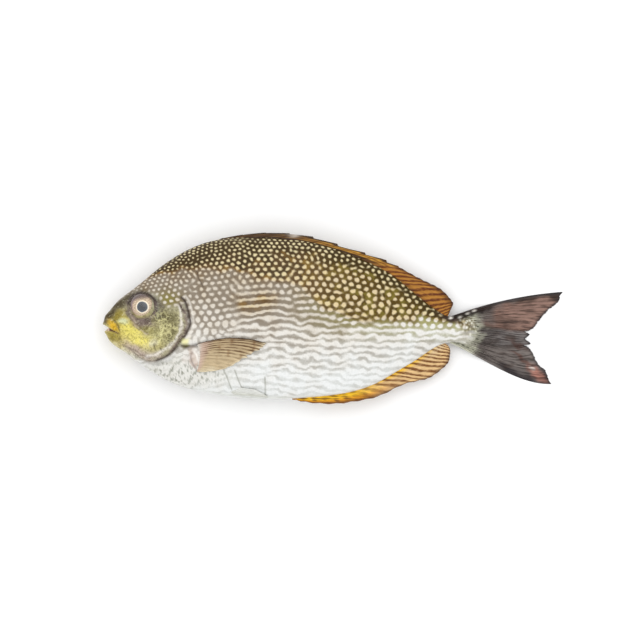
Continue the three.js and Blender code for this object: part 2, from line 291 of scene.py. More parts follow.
def bodyGrid():
    # rings of points along x; angle 0 is the back ridge, a quarter turn on is the left flank, which is up
    def ringGap(x):
        return np.minimum(np.minimum(0.04 + 0.22 * x, 0.5 + 0.08 * ease(x, 58, 72)),
                          0.05 + 0.2 * (bodyShape["length"] - x))
    x = gradedSteps(ringGap, 0, bodyShape["length"], bodyShape["rings"])
    trial = np.linspace(0, math.tau, 6001)
    girth = np.hypot(np.gradient(52 * np.cos(trial)), np.gradient(19 * np.abs(np.sin(trial)) ** 1.05
                                                                  * np.sign(np.sin(trial))))
    # the belly half and the hidden flank need fewer points
    girth = girth * mix(0.62, 1.0, ease(np.cos(trial), -0.35, 0.0))
    girth = girth * mix(0.62, 1.0, ease(np.sin(trial), -0.15, 0))
    total = np.cumsum(girth)
    share = np.arange(bodyShape["around"]) / bodyShape["around"]
    angle = np.interp(share * total[-1], total - total[0], trial)
    middle, halfDepth, halfWidth = (v[:, None] for v in sectionAt(x))
    t = np.cos(angle)[None, :]
    sharp = mix(bodyShape["bellySharpness"], bodyShape["backSharpness"], (1 + t) / 2)
    y = middle + halfDepth * t
    bulge = np.sign(np.sin(angle)) * np.abs(np.sin(angle)) ** sharp
    z = bodyLine("lie", x)[:, None] + halfWidth * bulge
    return np.stack([np.broadcast_to(x[:, None], y.shape), y, z], 2), angle


def gridNormals(grid):
    along = np.gradient(grid, axis=0)
    wrapped = np.concatenate([grid[:, -1:], grid, grid[:, :1]], 1)
    around = (wrapped[:, 2:] - wrapped[:, :-2]) / 2
    normal = np.cross(around, along)
    length = np.linalg.norm(normal, axis=2, keepdims=True)
    return normal / np.maximum(length, 1e-9)


headShape = {
    "eye": (25.9, 7.5), "eyeOpening": 7.7,
    "mouthFront": -5.9, "mouthSlope": -0.36, "mouthLength": 9.0,
    "gillSlit": [(51.5, 13.5), (54.4, 9.5), (56.6, 0.6), (56.9, -4), (54, -10.4), (50, -16), (45.3, -21.8),
                 (39.8, -25.6), (34.5, -27.6), (27, -27.4), (19.5, -21.8), (12.5, -17.0)],
    "gillEdge": [(49, 11.8), (51.7, 6.5), (53.3, 0.3), (53.4, -6.2), (50.4, -12), (46.2, -17.8),
                 (40.4, -22.3), (33.8, -25.6), (28.5, -25.9)],
    "cheekRidge": [(44.5, 3.5), (42.8, -2.5), (41.2, -9), (39.5, -14.5), (35, -20), (28, -22.6),
                   (20.5, -19.5)],
    "nostrils": [(15.6, 8.4), (13.4, 6.9)],
}
trunkShape = {
    "lateralLine": [(54, 20), (75, 29), (100, 32.5), (130, 29.5), (165, 17), (200, 3), (236, -7)],
    "creases": [[(86, -34), (88.4, -40.5), (91, -46.3)], [(105.4, -38), (105.6, -46), (105.2, -52)]],
    "linedPatch": ((100, 0.43), (16, 0.085), 1.5),
}


def mouthAt(x, y):
    # half height of the gape, which narrows to the corner, and how many of them (x, y) lies from its middle
    gape = 1.25 * (1 - ease(x, 0, headShape["mouthLength"])) + 0.3
    return gape, np.abs(y - headShape["mouthFront"] - headShape["mouthSlope"] * x) / gape


def headRelief(x, y):
    # how far the skin of the head stands out (+) or in (-), in millimetres along its normal
    h = headShape
    lift = np.zeros(x.shape)
    # gill cover: a thin plate whose edge drops into the slit behind it
    away, side, along = nearCurve(x, y, h["gillSlit"])
    fade = ease(along, 0.0, 0.06) * (1 - 0.75 * ease(along, 0.62, 0.95))
    infront = np.where(side < 0, 1.0, 0.0)
    lift += fade * (0.75 * np.exp(-(away / 4.5) ** 2) * infront - 2.1 * np.exp(-(away / 0.62) ** 2))
    edgeAway, _, edgeAlong = nearCurve(x, y, h["gillEdge"])
    lift += 0.45 * np.exp(-(edgeAway / 0.8) ** 2) * ease(edgeAlong, 0, 0.1)
    ridgeAway, _, ridgeAlong = nearCurve(x, y, h["cheekRidge"])
    lift += 0.35 * np.exp(-(ridgeAway / 1.5) ** 2) - 0.35 * np.exp(-((ridgeAway - 2.2) / 0.8) ** 2)
    # eye opening and its soft rim
    r = np.hypot(x - h["eye"][0], y - h["eye"][1])
    lift += -4.2 * (1 - ease(r, h["eyeOpening"] - 0.9, h["eyeOpening"] + 0.25))
    lift += 0.55 * np.exp(-((r - h["eyeOpening"] - 0.9) / 0.8) ** 2)
    lift -= 0.35 * np.exp(-((r - h["eyeOpening"] - 3.6) / 1.3) ** 2)
    # two nostrils in front of the eye
    for place in h["nostrils"]:
        hole = np.hypot((x - place[0]) / 0.7, (y - place[1]) / 0.5)
        lift += 0.3 * np.exp(-(hole - 1.5) ** 2 * 3) - 0.8 * np.exp(-hole ** 2)
    # mouth: a groove between two thick lips
    gape, d = mouthAt(x, y)
    reach = 1 - ease(x, h["mouthLength"] - 2.5, h["mouthLength"] + 0.5)
    lift -= (1.0 + 3.2 * (1 - ease(x, 0, 4))) * np.exp(-d ** 4) * reach
    lift += 0.4 * np.exp(-((d * gape - gape - 1.0) / 0.9) ** 2) * reach
    lift += 0.8 * blot(x, y, (2.6, 0.8), (2.2, 2.6))
    # upper jaw bone running down and back from the snout
    jawAway, _, _ = nearCurve(x, y, [(4.0, -1.0), (6.5, -4.4), (9.4, -8.0)])
    lift += 0.4 * np.exp(-(jawAway / 1.5) ** 2)
    return lift


def trunkRelief(x, y):
    # lateral line, pectoral shoulder, creases of the belly skin and a little unevenness of the flesh
    lift = 0.25 * softNoise(x, y, 16, 3) * ease(x, 55, 90) * ease(240 - x, 0, 40)
    away, _, _ = nearCurve(x, y, trunkShape["lateralLine"])
    lift -= 0.16 * np.exp(-(away / 0.55) ** 2)
    shoulder = np.hypot((x - 60.2) / 3.6, (y + 25.5) / 7.5)
    lift += 1.5 * np.exp(-shoulder ** 4) - 0.5 * np.exp(-((shoulder - 1.5) / 0.3) ** 2)
    for crease in ([(75.5, -27), (79, -34), (83.8, -46.5)], *trunkShape["creases"]):
        away, _, _ = nearCurve(x, y, crease)
        lift -= 0.35 * np.exp(-(away / 0.5) ** 2)
    return lift


netShape = {"spotGaps": [2.4, 2.9, 3.4, 4.0], "waveGap": 4.7, "step": 0.45, "rounds": 150, "seed": 11}


def pigmentNet(stations, halfGirth, ridgeDrop):
    # skin pattern by local growth: each wavelength band grows or dies, u + (growth + g u^2 - u^3) dt.
    # Growth alike in all directions settles into spots, tight on the nape and wider down the flank; growth
    # in nearly level lines only settles into waves on the lower flank. The grid is x by the distance below
    # the highest point of the back, measured over the skin, so that spots stay round on the sloping nape.
    step = netShape["step"]
    x, s = np.arange(560) * step - 4, np.arange(384) * step
    across = math.tau * np.fft.fftfreq(len(s), step)[:, None]
    along = math.tau * np.fft.rfftfreq(len(x), step)[None, :]
    tilt = np.arctan2(along, np.abs(across) + 1e-9)

    def band(gap, stretch, growth, level=0.0):
        k = math.tau / gap
        off = (np.hypot(across, along * stretch) - k) / (0.27 * k)
        return growth * np.exp(-off ** 2 - level * tilt ** 4) - 1
    spotBands = [band(gap, 1.12, 1.11) for gap in netShape["spotGaps"]]
    waveBand = band(netShape["waveGap"], 1, 1.3, 2.0)
    gridX, gridS = np.meshgrid(x, s)
    girth = np.maximum(np.interp(gridX, stations, halfGirth), 1)
    share = (gridS - np.interp(gridX, stations, ridgeDrop)) / girth
    edge = np.interp(gridX, [45, 76, 90, 112, 135, 160, 200, 240],
                     [0.7, 0.7, 0.52, 0.46, 0.46, 0.48, 0.54, 0.6])
    spotted = 1 - ease(share + 0.05 * softNoise(gridX, gridS, 16, 5) - edge, -0.05, 0.06)
    spotted = spotted * (1 - blot(gridX, share, *trunkShape["linedPatch"]))
    # which two neighbouring spot spacings share a place, from 0 on the nape to 3 low on the flank
    wider = np.interp(gridX, [40, 90, 160, 215, 240], [-0.08, 0.1, 0.24, 0.26, 0.2])
    size = 3 * ease(share + wider, 0.0, 0.5)
    shares = [np.clip(1 - np.abs(size - k), 0, 1) for k in range(len(spotBands))]
    u = 0.1 * np.random.default_rng(netShape["seed"]).standard_normal(gridX.shape)
    for _ in range(netShape["rounds"]):
        waves = np.fft.rfft2(u)
        spots = sum(part * np.fft.irfft2(b * waves, s=u.shape) for part, b in zip(shares, spotBands))
        grown = mix(np.fft.irfft2(waveBand * waves, s=u.shape), spots, spotted)
        u = u + 0.4 * (grown + (0.1 + 1.05 * spotted) * u * u - u ** 3)
    return x, s, u


def sampleGrid(x, s, field, atX, atS):
    # bilinear reading of a grid
    step = x[1] - x[0]
    i = np.clip((atX - x[0]) / step, 0, len(x) - 1.001)
    j = np.clip((atS - s[0]) / step, 0, len(s) - 1.001)
    i0, j0 = i.astype(int), j.astype(int)
    fi, fj = i - i0, j - j0
    return (field[j0, i0] * (1 - fi) * (1 - fj) + field[j0, i0 + 1] * fi * (1 - fj)
            + field[j0 + 1, i0] * (1 - fi) * fj + field[j0 + 1, i0 + 1] * fi * fj)


def spotSize(x, y, share):
    # shifts the level the net is cut at: small spots on the nape and ridge, broad pale bands on the belly
    onNape = (1 - ease(x, 50, 90)) * (1 - ease(share, 0.3, 0.5))
    size = mix(-0.34, -0.1, ease(share, 0.02, 0.34)) - 0.12 * onNape
    breaks = 0.16 * softNoise(x, y, 4.2, 52) * ease(share, 0.45, 0.62)
    return size + 0.42 * ease(share, 0.45, 0.62) + 0.12 * softNoise(x, y, 9, 51) + breaks


def skinTone(x, y):
    # how dark the net is, 1 on the back to 0 on the belly: a dark band above a stepped line, a grey
    # washed-out flank below it, and a brown patch
    edge = splineLine([[30, 30], [60, 34], [84, 32], [99, 28], [121, 24], [134, 19], [143, 10], [152, 4],
                       [193, 0], [226, -3], [244, -4]], np.clip(x, 30, 244))
    edge = edge + 2.2 * softNoise(x, y, 9, 21)
    flank = np.interp(y, [-46, -38, -28, -15, 0, 15, 30], [0.0, 0.05, 0.14, 0.28, 0.42, 0.52, 0.6])
    flank = flank * mix(1.0, 0.55, ease(x - 0.8 * (y + 15), 140, 205))
    flank = mix(flank, 0.72, 0.85 * blot(x, y, (99, 9), (15, 7.5), 1.5))
    band = mix(0.96, 0.8, ease(x, 90, 150)) + 0.24 * np.exp(-((y - bodyLine("back", x)) / 9) ** 2)
    return mix(flank, band, ease(y - edge, -3.5, 2.5))


tones = {
    "snoutBrown": srgb(74, 62, 36), "snoutOlive": srgb(136, 120, 36), "yellow": srgb(224, 210, 134),
    "brightYellow": srgb(238, 226, 116), "snoutYellow": srgb(202, 184, 74), "orange": srgb(222, 178, 44),
    "mint": srgb(206, 218, 190), "browOlive": srgb(84, 76, 48), "cheekOlive": srgb(142, 134, 78),
    "cheekPale": srgb(190, 184, 130), "underEye": srgb(124, 108, 102), "orbit": srgb(100, 86, 84),
    "teal": srgb(112, 120, 118), "jawPink": srgb(190, 172, 158), "throat": srgb(224, 222, 214),
    "gillPale": srgb(232, 226, 216), "gillGrey": srgb(128, 110, 106), "slitDark": srgb(52, 38, 34),
    "lipPink": srgb(232, 200, 192), "mouthDark": srgb(90, 62, 44), "pinkBrown": srgb(168, 128, 104),
    "oliveBlotch": srgb(122, 120, 30), "paleYellow": srgb(236, 232, 170), "crease": srgb(116, 118, 98),
    "keel": srgb(206, 208, 198), "finPink": srgb(204, 178, 160), "white": srgb(240, 236, 228),
    "napeGrey": srgb(108, 100, 84), "scalePale": srgb(214, 214, 196), "finOrange": srgb(178, 122, 46),
    "finBrown": srgb(122, 76, 18), "finDark": srgb(76, 52, 26), "finGold": srgb(208, 156, 58),
    "finRim": srgb(96, 70, 52), "analYellow": srgb(250, 200, 36), "analTan": srgb(224, 188, 134),
    "analRim": srgb(128, 98, 72), "analOrange": srgb(222, 150, 20), "tailPink": srgb(144, 114, 102),
    "tailGrey": srgb(120, 114, 112), "tailLow": srgb(116, 108, 104), "tailRoot": srgb(122, 114, 110),
    "tailEdge": srgb(62, 44, 34), "tailRim": srgb(48, 42, 44), "finTan": srgb(200, 180, 144),
    "finTanDark": srgb(186, 164, 128), "finTanPale": srgb(232, 220, 190), "pelvicPale": srgb(224, 226, 222),
    "pinkTip": srgb(186, 128, 112), "redStreak": srgb(86, 54, 44),
}

# soft dabs of colour: place, half size along and across, turn in degrees, tone, strength
headDabs = [
    ((38, -6), (26, 26), 0, "cheekOlive", 0.9), ((12, -8), (16, 16), 0, "snoutYellow", 0.9),
    ((23, -14.5), (16, 5.6), -12, "yellow", 0.8), ((26, -14.2), (8.5, 3.0), -6, "brightYellow", 0.75),
    ((18, -8), (7, 4.5), -30, "brightYellow", 0.6), ((36, -10.5), (7, 4), 10, "cheekPale", 0.6),
    ((26, 17.5), (15, 4.6), 34, "browOlive", 0.9), ((11, 8.6), (14, 3.2), 44, "snoutBrown", 0.85),
    ((15.5, 5.5), (6, 3.0), 40, "cheekPale", 0.3),
    ((9.5, 1.5), (6.5, 3), 40, "snoutOlive", 0.85), ((3, 0), (4.4, 3), 60, "snoutBrown", 0.9),
    ((13.4, -2.1), (3.4, 1.9), -12, "mint", 0.85), ((17.2, 2.6), (1.6, 3.2), 0, "mint", 0.5),
    ((7.2, -5.2), (4.6, 2.0), -44, "orange", 0.95), ((7.0, -12.0), (5.5, 3.2), -30, "snoutOlive", 0.8),
    ((27, -3.2), (8, 4.6), -4, "underEye", 0.85), ((30, -7.5), (6, 2.2), -4, "cheekOlive", 0.7),
    ((35.5, 7), (2.6, 6.5), 0, "teal", 0.7),
    ((38.5, 9.5), (2.0, 4.5), 0, "napeGrey", 0.6), ((32, 19.5), (3.2, 2), 0, "pinkBrown", 0.6),
    ((42, 1.5), (5, 4), -20, "browOlive", 0.6), ((38.5, 1), (2.4, 2), 0, "browOlive", 0.6),
    ((24, -22.5), (13, 2.8), -30, "jawPink", 0.8), ((36, -24), (9, 2.2), -12, "jawPink", 0.5),
    ((20, -28), (16, 4), -38, "throat", 0.7), ((17, -5.5), (6.5, 2.2), -30, "brightYellow", 0.55),
    ((33, -16), (3, 2.4), 20, "throat", 0.5), ((21, -19.4), (7, 1.6), -32, "jawPink", 0.7),
]


def eyeArc(radius, start, end):
    # nine points on a circle round the eye, between two angles in degrees
    x, y = headShape["eye"]
    turn = np.radians(np.linspace(start, end, 9))
    return [(x + radius * math.cos(t), y + radius * math.sin(t)) for t in turn]


# strokes of colour: points, half width, tone, strength
headStrokes = [
    ([(0.6, 0.2), (4, 3.2), (9, 9), (19.5, 17.6)], 1.5, "snoutBrown", 0.9),
    (eyeArc(9.1, 5, 165), 1.25, "slitDark", 0.9),
    (eyeArc(8.8, -170, -20), 0.9, "underEye", 0.9),
    (eyeArc(10.8, 195, 300), 1.3, "underEye", 0.8),
    (eyeArc(9.7, -60, 20), 0.9, "orbit", 0.75),
    (eyeArc(9.9, 150, 225), 0.45, "orbit", 0.7),
    (eyeArc(11.4, 160, 250), 0.4, "orbit", 0.5),
    ([(36.6, 11.5), (38.6, 7.5), (37.6, 2)], 1.1, "napeGrey", 0.9),
    ([(7.6, -1.6), (9.6, -5), (11.2, -7.6)], 0.7, "browOlive", 0.8),
    ([(4.2, -6.9), (7.2, -8.2), (9.4, -9.6)], 0.7, "mouthDark", 0.75),
    ([(19, 1.6), (20.6, -3), (23.5, -7.4), (29, -9)], 0.7, "jawPink", 0.5),
    ([(39.5, -4), (38.3, -10), (36, -16)], 0.6, "paleYellow", 0.6),
    ([(46, -3.5), (45, -10), (42, -16)], 0.7, "browOlive", 0.5),
    ([(33.5, -17.5), (34.6, -20.5)], 0.5, "browOlive", 0.7),
    ([(38, -18.3), (39.6, -21.6)], 0.5, "snoutBrown", 0.8),
    ([(48.6, 9), (50.6, 5.6), (51.6, 0.3), (51.6, -6.2), (48.8, -11.6), (45, -16.6), (39.6, -20.8),
      (33.4, -23.8), (28, -24.3)], 1.05, "gillPale", 0.95),
    ([(49, 11.8), (52.6, 6.5), (54.8, 0.3), (55, -5), (52.4, -11.2), (48.2, -16.6), (43.5, -21.4)],
     1.3, "gillGrey", 0.95),
    ([(50.5, 9.5), (53.6, 5.0)], 0.9, "slitDark", 0.8), ([(54.6, 2.5), (56.2, -1.5)], 0.9, "slitDark", 0.8),
    ([(16, -18), (24, -22.5), (31, -25.4), (37, -25.2)], 0.55, "underEye", 0.55),
]


def layOver(paint, cover, weight, tone):
    # one colour over another: cover becomes w + c (1 - w), and the colours share it in proportion
    total = weight + cover * (1 - weight)
    paint[:] = mix(paint, tones[tone], (weight / np.maximum(total, 1e-6))[:, None])
    cover[:] = total


def washed(paint, tone, weight):
    return mix(paint, tones[tone], weight[..., None])


def dab(paint, cover, x, y, place, size, turn, tone, strength):
    # flat-topped oval: strength exp(-(r^2)^1.6), r measured in the turned, stretched frame
    c, s = math.cos(math.radians(turn)), math.sin(math.radians(turn))
    along, across = x - place[0], y - place[1]
    r = ((along * c + across * s) / size[0]) ** 2 + ((across * c - along * s) / size[1]) ** 2
    layOver(paint, cover, strength * np.exp(-r ** 1.6), tone)


def stroke(paint, cover, x, y, points, width, tone, strength):
    away, _, _ = nearCurve(x, y, points)
    layOver(paint, cover, strength * np.exp(-(away / width) ** 2), tone)


def markStalk(paint, cover, x, y):
    # dark upper edge of the stalk with a row of white dots, shared by the body and the root of the tail
    under = bodyLine("back", x) + 0.3 * np.maximum(x - 232, 0) - y
    weight = ease(x, 212, 228) * (1 - ease(under + 0.7 * softNoise(x, y, 2, 34), 2.2, 5.2)) * 0.95
    layOver(paint, cover, weight, "slitDark")
    for place in ((221.5, 3.6), (226.5, 0.4), (232.4, 0.9), (237.4, 3.2), (241.8, 5.0)):
        dab(paint, cover, x, y, place, (1.5, 0.8), 18, "white", 0.95)


def paintSkin(x, y):
    # painted colour of the head and of single marks on the trunk, with how much each covers the net
    slit, side, _ = nearCurve(x, y, headShape["gillSlit"][:10])
    nape = nearCurve(x, y, [(6, 8.5), (13, 13.4), (19, 16.6), (25, 17.8), (31, 16.4), (36, 13), (39.5, 8.4),
                            (44, 6.8), (51, 8.6)])
    behind = np.where(side > 0, 1.0, 0.0) * ease(slit, 0, 1.2)
    face = (1 - ease(nape[0] * nape[1], -1.5, 3)) * (1 - behind) * (1 - ease(x, 52, 56) * (y > 4))
    face = face * (1 - ease(x, 54, 57.5))
    warpX = x + 0.8 * softNoise(x, y, 3.2, 31)
    warpY = y + 0.8 * softNoise(x, y, 3.2, 32)
    paint = np.tile(tones["throat"], (len(x), 1))
    cover = face.copy()
    patch = np.ones(len(x))
    for place, size, turn, tone, strength in headDabs:
        dab(paint, patch, warpX, warpY, place, size, turn, tone, strength)
    r = np.hypot(x - headShape["eye"][0], y - headShape["eye"][1])
    paint = washed(paint, "orbit", 0.75 * np.exp(-((r - 8.6) / 1.5) ** 2))
    for points, width, tone, strength in headStrokes:
        stroke(paint, patch, warpX, warpY, points, width, tone, strength)
    # marks that lie over the net as well as over the face
    # painted shade: a dark line along the groove of the gill slit
    stroke(paint, cover, x, y, headShape["gillSlit"][:9], 0.95, "slitDark", 0.95)
    stroke(paint, cover, x, y, [(54, 14.5), (57, 9.5), (58.9, 1), (59, -4.5), (56, -11.5)], 0.8,
           "gillPale", 0.6)
    stroke(paint, cover, x, y, headShape["gillSlit"][8:], 0.5, "underEye", 0.7)
    dab(paint, cover, warpX, warpY, (53.6, -15.2), (3.4, 1.6), 40, "paleYellow", 0.9)
    dab(paint, cover, warpX, warpY, (54.6, -17.8), (3.2, 1.3), 5, "oliveBlotch", 0.9)
    stroke(paint, cover, x, y, [(51.5, -17.6), (56, -18.3), (61, -17.2), (68, -15.8)], 1.25, "slitDark", 0.85)
    dab(paint, cover, warpX, warpY, (59.6, -25.4), (3.6, 6.6), 8, "finPink", 0.55)
    # painted shade: a grey curve along the front and lower end of the pectoral shoulder mound
    stroke(paint, cover, x, y, [(58.6, -21.6), (57.6, -24.4), (58.4, -28), (60.6, -31.6)], 0.6,
           "gillGrey", 0.6)
    # painted highlight: a white crescent on the upper rear of the pectoral shoulder mound
    stroke(paint, cover, x, y, [(59.8, -21.5), (61.4, -23.4), (61.9, -26.2)], 0.6, "white", 0.95)
    flecked = blot(warpX, warpY, (54, -36), (32, 11), 2) * np.where(side > 0, 1.0, 0.6)
    stained = softNoise(x * 1.3, y, 1.3, 35) + softNoise(x, y * 1.2, 2.2, 36)
    paint = mix(paint, mix(tones["throat"], tones["crease"], (0.95 * ease(stained, 0.2, 0.9))[:, None]),
                (flecked * (1 - face) * (cover < 0.3))[:, None])
    cover = np.maximum(cover, 0.75 * flecked * (1 - face))
    # painted shade: dark lines along the belly creases, which are also grooved in the mesh
    for crease in ([(73, -22), (79, -34), (83.8, -46.5)], *trunkShape["creases"]):
        stroke(paint, cover, x, y, crease, 0.4, "crease", 0.6)
    stroke(paint, cover, x, y, [(61.2, 31), (62.6, 26), (65.5, 20.5)], 0.4, "slitDark", 0.55)
    markStalk(paint, cover, x, y)
    # painted shade: a thin grey line just inside the belly edge, where the flank turns under towards the slab
    keel = ease(x, 50, 80) * (1 - ease(x, 120, 190)) * np.exp(-((y - bodyLine("belly", x) - 1.2) / 1.0) ** 2)
    paint = washed(paint, "keel", keel * (cover < 0.5))
    cover = np.maximum(cover, 0.45 * keel)
    inside = np.exp(-mouthAt(x, y)[1] ** 4) * (1 - ease(x, 6.5, 9.5))
    paint = mix(paint, mix(tones["lipPink"], tones["mouthDark"], ease(x, 2.6, 4.4)[:, None]), inside[:, None])
    return paint, np.clip(np.maximum(cover, inside), 0, 1), face


def scaleTone(tree, place):
    # small pale scales with darker gaps, as on the stalk of the tail
    cells = wire(tree, "ShaderNodeTexVoronoi", {"Vector": place, "Scale": 430.0, "Randomness": 0.8})
    return ramp(tree, cells.outputs["Distance"], [(0.1, srgb(244, 246, 236)), (0.32, srgb(206, 202, 184)),
                                                  (0.5, srgb(134, 124, 98)), (0.7, srgb(92, 82, 60))])


def skinMaterial():
    material, tree, shader = newMaterial("spottedSkin")
    place = wire(tree, "ShaderNodeTexCoord").outputs["Object"]
    net, tone, olive, cover, face, vein, scaly = readValues(tree, "net", "tone", "olive", "cover", "face",
                                                            "vein", "scaly")
    paint = readPaint(tree)
    grain = noiseAt(tree, place, 900, 3, 0.6)
    cloud = noiseAt(tree, place, 110, 4, 0.55)
    # spots: the net's field cut at a level, its edge roughened by the grain of the pigment cells
    level = sums(tree, "MULTIPLY_ADD", sums(tree, "SUBTRACT", grain, 0.5), 0.55, net)
    pale = spread(tree, level, -0.45, 0.75)
    tone = sums(tree, "ADD", tone, spread(tree, cloud, 0.25, 0.75, -0.12, 0.12, "LINEAR"))
    dark = ramp(tree, tone, [(0.0, srgb(210, 212, 209)), (0.16, srgb(178, 175, 167)),
                             (0.36, srgb(148, 138, 125)), (0.55, srgb(132, 119, 102)),
                             (0.75, srgb(100, 76, 46)), (1.0, srgb(66, 50, 26))])
    light = ramp(tree, tone, [(0.0, srgb(232, 234, 233)), (0.3, srgb(226, 222, 214)),
                              (0.55, srgb(208, 198, 182)), (0.8, srgb(216, 197, 158)),
                              (1.0, srgb(220, 206, 162))])
    dark = blend(tree, olive, dark, tint(tree, dark, srgb(236, 238, 132)))
    gold = noiseAt(tree, place, 150, 3, 0.6)
    gold = sums(tree, "MULTIPLY", spread(tree, gold, 0.48, 0.64, 0.0, 0.6), spread(tree, tone, 0.55, 0.8))
    gold = sums(tree, "MULTIPLY", gold, spread(tree, tone, 0.84, 0.98, 1.0, 0.0))
    dark = blend(tree, gold, dark, blend(tree, olive, srgb(150, 114, 52), srgb(132, 120, 48)))
    light = blend(tree, sums(tree, "MULTIPLY", gold, 0.6), light, srgb(226, 204, 140))
    skin = blend(tree, pale, dark, light)
    # the face: painted tones broken up by fine darker veins and paler flecks
    veins = noiseAt(tree, place, 420, 3, 0.6, 1.6)
    fleck = noiseAt(tree, place, 640, 2, 0.5, 0.8)
    mottled = blend(tree, spread(tree, veins, 0.34, 0.56, 0.6, 0.0), paint,
                    tint(tree, paint, srgb(138, 132, 112)))
    mottled = blend(tree, spread(tree, fleck, 0.56, 0.7, 0.0, 0.25), mottled, srgb(236, 232, 200))
    # pale worm lines on the cheek: edges of distorted cells
    drift = wire(tree, "ShaderNodeTexNoise", {"Vector": place, "Scale": 300.0, "Detail": 2.0})
    drift = wire(tree, "ShaderNodeVectorMath", {0: drift.outputs["Color"], 1: (0.5, 0.5, 0.5)},
                 operation="SUBTRACT")
    drift = wire(tree, "ShaderNodeVectorMath", {0: drift.outputs[0], "Scale": 0.0065}, operation="SCALE")
    drift = wire(tree, "ShaderNodeVectorMath", {0: drift.outputs[0], 1: place}, operation="ADD")
    worm = wire(tree, "ShaderNodeTexVoronoi", {"Vector": drift.outputs[0], "Scale": 270.0},
                feature="DISTANCE_TO_EDGE").outputs["Distance"]
    mottled = blend(tree, sums(tree, "MULTIPLY", vein, spread(tree, worm, 0.1, 0.34, 0.0, 0.3)), mottled,
                    tint(tree, mottled, srgb(140, 132, 100)))
    patchy = sums(tree, "MULTIPLY", vein, spread(tree, noiseAt(tree, place, 170, 3), 0.42, 0.58, 0.1, 1.0))
    mottled = blend(tree, sums(tree, "MULTIPLY", patchy, spread(tree, worm, 0.02, 0.12, 0.6, 0.0)), mottled,
                    srgb(224, 218, 160))
    paint = blend(tree, face, paint, mottled)
    colour = blend(tree, cover, skin, paint)
    colour = blend(tree, scaly, colour, scaleTone(tree, place))
    colour = blend(tree, 0.5, colour, tint(tree, colour, ramp(tree, grain, [(0.25, (0.72, 0.72, 0.72)),
                                                                            (0.75, (1.0, 1.0, 1.0))])))
    scales = wire(tree, "ShaderNodeTexVoronoi", {"Vector": place, "Scale": 1100.0}).outputs["Distance"]
    height = sums(tree, "MULTIPLY_ADD", scales, 0.5, cloud)
    plug(tree, shader, {"Base Color": colour, "Roughness": spread(tree, cloud, 0.3, 0.7, 0.34, 0.5, "LINEAR"),
                        "Normal": relief(tree, height, 0.25, 0.0003), "Coat Weight": 0.06,
                        "Coat Roughness": 0.2, "Specular IOR Level": 0.3, "IOR": 1.25})
    return material


def makeBody():
    grid, angle = bodyGrid()
    steps = np.linalg.norm(np.diff(np.concatenate([grid, grid[:, :1]], 1), axis=1), axis=2)
    girth = np.concatenate([np.zeros((len(grid), 1)), np.cumsum(steps, 1)[:, :-1]], 1)
    whole = steps.sum(1)[:, None]
    leftSide = np.sin(angle)[None, :] >= 0
    fromRidge = np.where(leftSide, girth, girth - whole)
    halfGirth = np.abs(fromRidge).max(1)
    ridge = grid[:, 0, 1]
    ridgeDrop = ridge.max() - ridge
    x, s, field = pigmentNet(grid[:, 0, 0], halfGirth, ridgeDrop)
    atX, atY = grid[..., 0], grid[..., 1]
    share = np.abs(fromRidge) / np.maximum(halfGirth[:, None], 1)
    loose = ease(share, 0.38, 0.56)
    sway = (1.15 * softNoise(atX, atY, 6, 41) + 0.5 * softNoise(atX, atY, 2.4, 42)) * loose
    shift = [0.32 * softNoise(atX, atY, 1.9, seed) * (1 - loose) for seed in (43, 44)]
    net = sampleGrid(x, s, field, atX + shift[0], np.abs(fromRidge) + ridgeDrop[:, None] + sway + shift[1])
    lift = np.where(atX < 66, headRelief(atX, atY), 0) + trunkRelief(atX, atY)
    lift = lift * ease(np.abs(np.sin(angle))[None, :] * np.ones_like(lift), 0.0, 0.12)
    nose = 1 - ease(atX, 2, 5)
    lift = mix(lift, np.where(atX < 8, headRelief(atX, atY), 0), nose)
    solid = grid + gridNormals(grid) * lift[..., None]
    upper = np.maximum(solid[..., 2], pressFlat(grid[..., 2]))
    solid[..., 2] = np.where(leftSide, upper, pressFlat(solid[..., 2]))
    inner = solid[1:-1]
    rings, around = inner.shape[:2]
    first, last = solid[0].mean(0), solid[-1].mean(0)
    points = np.concatenate([inner.reshape(-1, 3), [first, last]])
    faces = ringFaces(rings, around)

    def flat(v):
        v = np.broadcast_to(v, grid.shape[:2])[1:-1].reshape(-1)
        return np.concatenate([v, v[:1], v[-1:]])
    px, py = flat(atX), flat(atY)
    paint, cover, face = paintSkin(px, py)
    lines = 1 + 1.1 * blot(atX, share, *trunkShape["linedPatch"])
    stalk = px + 1.5 * softNoise(px, py, 3, 33) - 0.5 * np.maximum(py + 1, 0)
    values = {"net": flat(net * lines + spotSize(atX, atY, share)), "tone": skinTone(px, py),
              "olive": ease(px, 110, 175) * ease(py, -20, 6) + 0.9 * blot(px, py, (43, 12), (8, 6)),
              "cover": cover, "face": face, "paint": paint,
              "vein": blot(px, py, (41, -6), (13, 12), 2) * face,
              "scaly": 0.85 * ease(stalk, 230, 238) * ease(py, -16, -4)}
    makeMesh("fishBody", points, faces, values, skinMaterial(), "body")
    print("body", len(faces), "faces")


makeBody()

eyeShape = {"place": (0.106, 0.071), "diameter": 17.5, "depth": 10.26, "bulge": 1.4, "cornea": 0.35,
            "corneaWidth": 4.4, "gaze": 1.6, "rings": 72, "around": 96}


